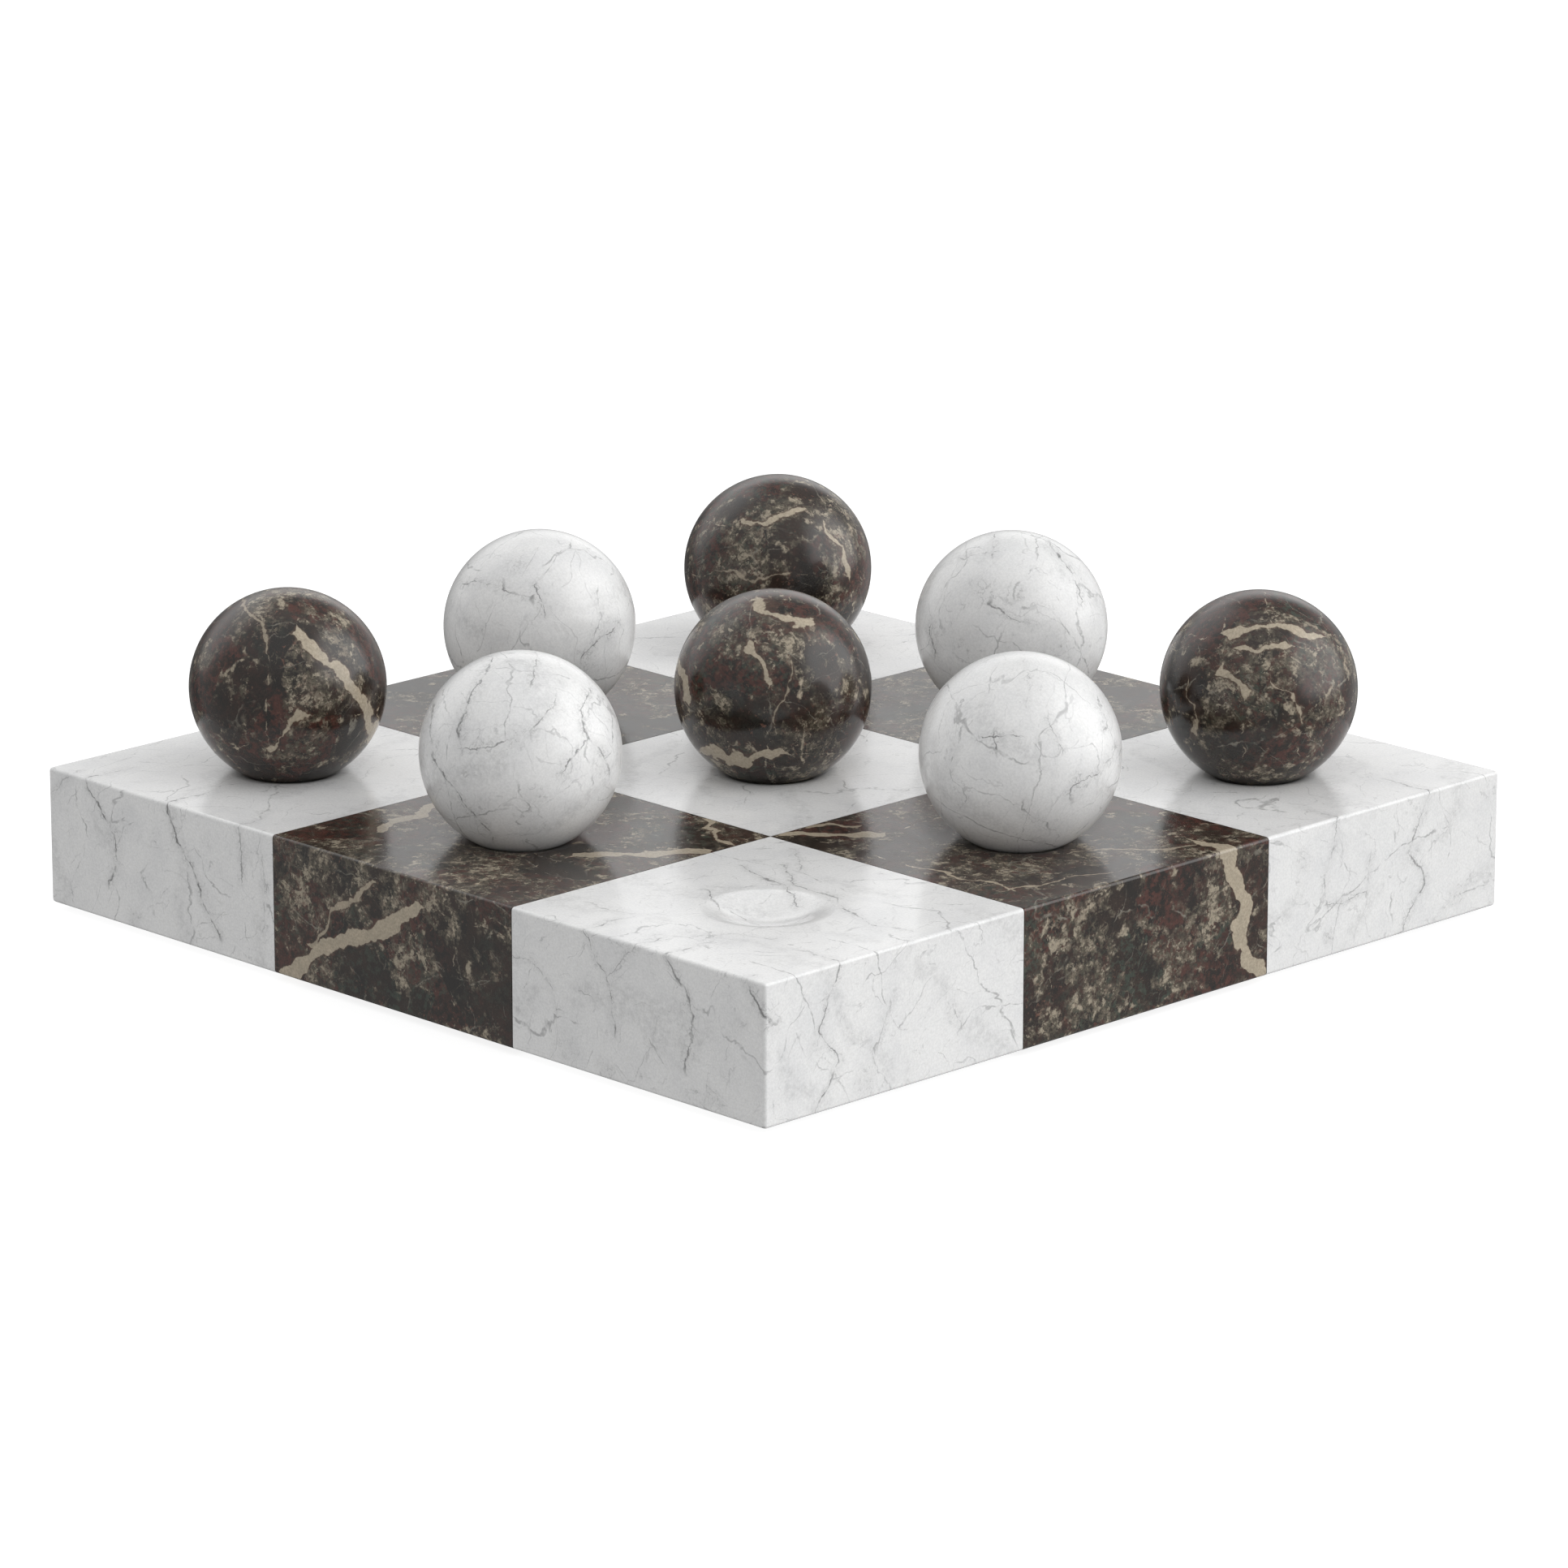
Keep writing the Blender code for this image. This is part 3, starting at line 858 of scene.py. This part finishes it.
# The main veins on the near side of each ball: the path as (along, up) points in radii from the middle of
# that side, then the half-width in millimetres and the strength
BALL_VEINS = {
    "front_left": (
        (
            [
                (0.14, 0.50), (0.30, 0.40), (0.45, 0.25), (0.62, 0.05), (0.75, -0.10), (0.82, -0.25),
                (0.84, -0.50),
            ],
            1.5, 1.0,
        ),
        ([(-0.10, -0.62), (0.02, -0.44), (0.20, -0.30)], 0.8, 0.9),
        ([(-0.45, 0.80), (-0.20, 0.62), (-0.15, 0.40)], 0.5, 0.6),
    ),
    "middle_centre": (
        ([(-0.62, -0.62), (-0.42, -0.72), (-0.25, -0.74), (-0.10, -0.66), (0.02, -0.66)], 1.7, 1.0),
        ([(-0.22, 0.36), (-0.12, 0.22), (-0.06, 0.10)], 1.1, 0.9),
        ([(-0.95, 0.20), (-0.88, 0.04), (-0.86, -0.10)], 1.2, 0.9),
        ([(-0.15, 0.78), (0.05, 0.74), (0.30, 0.66)], 0.9, 0.9),
        ([(0.18, 0.12), (0.14, -0.10), (0.02, -0.30)], 0.3, 0.6),
    ),
    "back_right": (
        ([(-0.30, 0.52), (-0.08, 0.60), (0.14, 0.64), (0.32, 0.58), (0.50, 0.52)], 1.0, 1.0),
        ([(-0.20, 0.40), (-0.04, 0.34), (0.18, 0.42)], 0.8, 0.9),
        ([(-0.40, 0.12), (-0.30, 0.06), (-0.20, -0.04)], 0.7, 0.9),
        ([(0.04, 0.06), (0.14, -0.04), (0.30, -0.08), (0.38, -0.24)], 0.4, 0.8),
        ([(-0.75, -0.05), (-0.66, -0.22), (-0.68, -0.40)], 0.4, 0.7),
    ),
    "back_left": (
        ([(-0.30, 0.46), (-0.10, 0.44), (0.05, 0.52), (0.20, 0.60)], 0.8, 0.9),
        ([(0.52, 0.36), (0.66, 0.16), (0.78, -0.06)], 0.8, 0.9),
        ([(-0.50, -0.08), (-0.30, -0.16), (0.05, -0.12)], 0.5, 0.6),
    ),
    "front_centre": (
        ([(-0.28, 0.88), (-0.40, 0.60), (-0.50, 0.40), (-0.58, 0.20), (-0.54, 0.04)], 0.4, 0.75),
        (
            [(-0.84, 0.50), (-0.88, 0.20), (-0.80, -0.10), (-0.65, -0.35), (-0.45, -0.60), (-0.25, -0.80)],
            0.38, 0.75,
        ),
        ([(0.36, 0.48), (0.26, 0.32), (0.14, 0.20)], 0.3, 0.7),
        ([(-0.54, 0.02), (-0.25, 0.06), (0.00, 0.15), (0.14, 0.20)], 0.24, 0.7),
        ([(0.16, 0.92), (0.12, 0.66)], 0.4, 0.65),
        ([(0.68, 0.58), (0.60, 0.40), (0.68, 0.15), (0.52, -0.04), (0.44, -0.22)], 0.36, 0.75),
        ([(0.68, 0.15), (0.80, 0.00), (0.88, -0.24)], 0.3, 0.75),
    ),
    "middle_right": (
        ([(-0.42, 0.14), (-0.28, 0.15), (-0.12, 0.16)], 0.26, 0.8),
        ([(-0.27, 0.16), (-0.26, 0.08)], 0.24, 0.8),
        ([(0.24, 0.28), (0.30, 0.16), (0.36, 0.04)], 0.28, 0.8),
        ([(-0.66, 0.02), (-0.70, -0.22), (-0.56, -0.42)], 0.28, 0.65),
        ([(0.92, 0.02), (0.76, -0.16), (0.60, -0.26), (0.48, -0.40)], 0.36, 0.75),
        ([(0.72, 0.56), (0.78, 0.42), (0.82, 0.28)], 0.36, 0.65),
        ([(0.00, -0.54), (0.12, -0.64), (0.26, -0.68)], 0.26, 0.6),
        ([(0.02, 0.84), (0.10, 0.66), (0.04, 0.50)], 0.3, 0.55),
    ),
    "middle_left": (
        ([(-0.76, 0.42), (-0.60, 0.44), (-0.52, 0.40)], 0.28, 0.75),
        ([(-0.34, 0.36), (-0.20, 0.30), (-0.04, 0.28)], 0.28, 0.7),
        ([(0.00, 0.36), (0.03, 0.28), (0.09, 0.16)], 0.3, 0.9),
        ([(0.82, -0.02), (0.66, -0.12), (0.54, -0.28), (0.44, -0.46)], 0.36, 0.75),
        ([(0.62, 0.30), (0.66, 0.10), (0.58, -0.06)], 0.26, 0.6),
    ),
    "back_centre": (
        ([(0.38, 0.82), (0.54, 0.66), (0.64, 0.46), (0.72, 0.26)], 0.36, 0.8),
        ([(-0.20, 0.92), (-0.22, 0.74)], 0.34, 0.75),
        ([(-0.50, 0.68), (-0.36, 0.74), (-0.22, 0.76)], 0.26, 0.6),
        ([(-0.24, 0.20), (-0.10, 0.10), (0.16, 0.02)], 0.26, 0.7),
        ([(-0.84, 0.02), (-0.86, -0.10), (-0.80, -0.26)], 0.3, 0.75),
    ),
}

# The smudges or mottled zones there: the place as (along, up) in radii, the radius in millimetres and the
# strength
BALL_PATCHES = {
    "front_left": (
        (0.28, -0.12, 8, 1.2), (-0.20, 0.62, 9, 1.3), (0.55, 0.60, 9, 1.3), (-0.80, 0.30, 8, 1.2),
    ),
    "middle_centre": (
        (0.10, 0.45, 14, 1.3), (0.30, 0.10, 8, 1.2), (0.65, -0.30, 9, 1.1), (-0.50, 0.55, 8, 1.1),
    ),
    "back_right": (
        (0.30, 0.30, 9, 1.2), (-0.35, 0.35, 7, 1.2), (0.15, 0.75, 8, 1.2), (0.20, -0.60, 6, 0.9),
    ),
    "back_left": (
        (0.00, 0.60, 11, 1.6), (0.62, 0.30, 8, 1.3), (-0.55, 0.40, 8, 1.2), (0.00, -0.05, 7, 0.9),
    ),
    "front_centre": (
        (-0.02, 0.14, 5, 1.0), (0.14, -0.42, 5, 0.9), (0.66, 0.44, 6, 0.8), (0.50, -0.10, 5, 0.9),
    ),
    "middle_right": (
        (0.58, -0.30, 6, 0.9), (0.06, 0.66, 7, 0.6), (-0.60, -0.36, 6, 0.7),
    ),
    "middle_left": (
        (0.50, -0.38, 6, 0.9), (0.70, -0.06, 6, 0.8), (-0.20, 0.64, 7, 0.6), (0.04, 0.24, 4, 1.0),
    ),
    "back_centre": (
        (-0.30, 0.34, 8, 0.9), (0.00, 0.30, 6, 0.9), (0.66, 0.50, 6, 0.7), (-0.84, -0.06, 5, 0.8),
    ),
}

BALL_VEIN_STRENGTH = 1.1
BALL_VEIN_REACH = 70.0


def near_place(along, up):
    """The millimetres that near_coordinates counts in, from a place in radii."""
    return (1 + along) * BALL_RADIUS / MM, (1 - up) * BALL_RADIUS / MM


def ball_veins(square):
    veins = []
    for path, width, strength in BALL_VEINS[square]:
        places = [near_place(*point) for point in path]
        strength = min(1.0, strength * BALL_VEIN_STRENGTH)
        veins.append(("near", places, width, strength, BALL_VEIN_REACH))
    return veins


def ball_patches(square):
    patches = []
    for along, up, radius, strength in BALL_PATCHES[square]:
        patches.append(("near", *near_place(along, up), radius, strength))
    return patches


# ---------------------------------------------------------------- the pieces

STONES = {"white": white_marble, "black": dark_marble}

# How each piece's place and turn in the rock follow from its square's number, in millimetres and radians
BLOCK_STEP = (137.0, -91.0, 53.0)
BALL_STEP = (-211.0, 0.0, 149.0)
BALL_START = (0.0, 77.0, 0.0)
TURN_STEP = (0.4, 0.9, 1.7)


def stone_turn(number):
    return [step * number for step in TURN_STEP]


def add_block(square, colour, column, row, centre, number, cutters):
    node = f"block_{colour}_{square}"
    mesh = block_mesh(f"marble_{node}", column, row, cutters)
    place = [step * number for step in BLOCK_STEP]
    veins, patches = VEINS.get(square, ()), PATCHES.get(square, ())
    stone = STONES[colour](f"stone_{node}", place, stone_turn(number), False, veins, patches)
    mesh.materials.append(stone)
    block = new_object(f"marble_{node}", mesh, centre)
    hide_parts(node)
    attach(block, "board")


def add_foot(square, mesh, centre):
    pad = new_object(f"rubber_foot_{square}", mesh, (centre.x, centre.y, 0.0))
    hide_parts(f"foot_{square}")
    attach(pad, "board")


def add_ball(square, colour, centre, number):
    node = f"ball_{colour}_{square}"
    mesh = ball_mesh(f"marble_{node}")
    place = [start + step * number for start, step in zip(BALL_START, BALL_STEP)]
    veins, patches = ball_veins(square), ball_patches(square)
    stone = STONES[colour](f"stone_{node}", place, stone_turn(number), True, veins, patches)
    mesh.materials.append(stone)
    ball = new_object(f"marble_{node}", mesh, centre + Vector((0.0, 0.0, BALL_CENTRE)))
    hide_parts(node)
    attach(ball, node)


def add_set():
    """The nine blocks with their feet, and a ball on every square that has one."""
    seat_cutter = new_object("seat_cutter", turned_mesh("seat_cutter", seat_profile(), TURN_STEPS))
    recess_cutter = new_object("recess_cutter", turned_mesh("recess_cutter", recess_profile(), TURN_STEPS))
    foot_mesh = turned_mesh("rubber_foot", foot_profile(), TURN_STEPS)
    foot_mesh.set_sharp_from_angle(angle=SMOOTH_ANGLE)
    foot_mesh.materials.append(rubber("moulded_rubber"))

    number = 0
    for row, row_name in ROWS.items():
        for column, column_name in COLUMNS.items():
            square = f"{row_name}_{column_name}"
            is_white = (column + row) % 2 == 0
            colour, ball_colour = ("white", "black") if is_white else ("black", "white")
            centre = Vector((column * SQUARE, row * SQUARE, BOARD_TOP))
            add_block(square, colour, column, row, centre, number, (seat_cutter, recess_cutter))
            add_foot(square, foot_mesh, centre)
            if f"ball_{ball_colour}_{square}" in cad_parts:
                add_ball(square, ball_colour, centre, number)
            number += 1

    bpy.data.objects.remove(seat_cutter)
    bpy.data.objects.remove(recess_cutter)


def add_glue():
    glue = new_object("stone_adhesive", glue_mesh("stone_adhesive"))
    glue.data.materials.append(adhesive("cured_adhesive"))
    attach(glue, "board")


# ---------------------------------------------------------------- floor, light and camera

FLOOR_SIZE = 12.0
FLOOR_GREY = 0.30
FLOOR_GLOW = 0.85

# Each soft box or dark card is a direction, the angles in degrees at which it fades out and is whole, and its
# strength: what a box adds to the light, or what a card leaves of it
KEY_BOX = ((0.728, 0.588, 0.353), 45, 22, 2.05)
BACK_BOX = ((-0.86, -0.04, 0.47), 38, 10, 0.75)
TOP_BOX = ((0.0, 0.0, 1.0), 70, 30, 0.28)
SHEEN_BOX = ((-0.69, 0.67, 0.25), 27, 11, 0.66)
UPPER_CARD = ((-0.36, 0.60, 0.72), 30, 8, 0.5)
GAP_CARD = ((-0.80, 0.36, -0.42), 52, 24, 0.28)
BACKDROP = 1.05  # what the camera sees behind the set

CAMERA_PLACE = (1.608388, -1.575184, 0.676312)
CAMERA_AZIMUTH = math.radians(45.516)
CAMERA_ELEVATION = math.radians(15.820)
CAMERA_LENS = 183.76
CAMERA_SENSOR = 36.0
CAMERA_RANGE = 50.0


def add_floor():
    """A plain pale floor that is left out of the reflections, and that shadows only just show on."""
    mesh = bpy.data.meshes.new("floor")
    bm = bmesh.new()
    bmesh.ops.create_grid(bm, x_segments=1, y_segments=1, size=FLOOR_SIZE / 2)
    bm.to_mesh(mesh)
    bm.free()
    floor = new_object("floor", mesh)
    floor.visible_glossy = False
    floor.visible_diffuse = False
    material, g = new_material("pale_floor")
    g.feed(g.shader.inputs["Base Color"], (FLOOR_GREY, FLOOR_GREY, FLOOR_GREY, 1.0))
    g.feed(g.shader.inputs["Roughness"], 0.9)
    g.feed(g.shader.inputs["Specular IOR Level"], 0.0)
    g.feed(g.shader.inputs["Emission Color"], (1.0, 1.0, 1.0, 1.0))
    g.feed(g.shader.inputs["Emission Strength"], FLOOR_GLOW)
    mesh.materials.append(material)


def lobe(g, direction, towards, outer, inner):
    """1 within the inner angle of towards, 0 beyond the outer one."""
    facing = g.measure("DOT_PRODUCT", direction, Vector(towards).normalized())
    return g.ramp(facing, math.cos(math.radians(outer)), math.cos(math.radians(inner)))


def light_studio():
    """Soft even light from all round, with soft boxes and dark cards painted on the sky."""
    world = bpy.data.worlds.new("studio")
    bpy.context.scene.world = world
    world.use_nodes = True
    g = Graph(world.node_tree)
    direction = g.node("TexCoord", {}).outputs["Generated"]
    height = g.node("SeparateXYZ", {0: direction}).outputs[2]

    def box(towards, outer, inner, strength):
        return g.multiply(lobe(g, direction, towards, outer, inner), strength)

    def card(towards, outer, inner, left):
        return g.linear(lobe(g, direction, towards, outer, inner), 0.0, 1.0, 1.0, left)

    key = g.multiply(box(*KEY_BOX), g.ramp(height, -0.22, 0.10))
    glow = g.add(g.ramp(height, -0.06, 0.04, 0.51, 0.56), key)
    glow = g.add(glow, box(*BACK_BOX))
    glow = g.add(glow, box(*TOP_BOX))
    glow = g.multiply(glow, card(*UPPER_CARD))
    glow = g.add(glow, box(*SHEEN_BOX))
    glow = g.multiply(glow, card(*GAP_CARD))
    is_seen = g.node("LightPath", {}).outputs["Is Camera Ray"]
    background = g.tree.nodes["Background"]
    g.feed(background.inputs["Color"], (1.0, 1.0, 1.0, 1.0))
    g.feed(background.inputs["Strength"], g.linear(is_seen, 0.0, 1.0, glow, BACKDROP))


def add_camera():
    lens = bpy.data.cameras.new("camera")
    lens.lens = CAMERA_LENS
    lens.sensor_width = CAMERA_SENSOR
    lens.clip_end = CAMERA_RANGE
    camera = new_object("camera", lens, CAMERA_PLACE)
    camera.rotation_euler = Euler((math.pi / 2 - CAMERA_ELEVATION, 0.0, CAMERA_AZIMUTH))
    bpy.context.scene.camera = camera


add_set()
add_glue()
add_floor()
light_studio()
add_camera()
bpy.context.scene.view_settings.view_transform = "Standard"
bpy.context.scene.view_settings.look = "None"
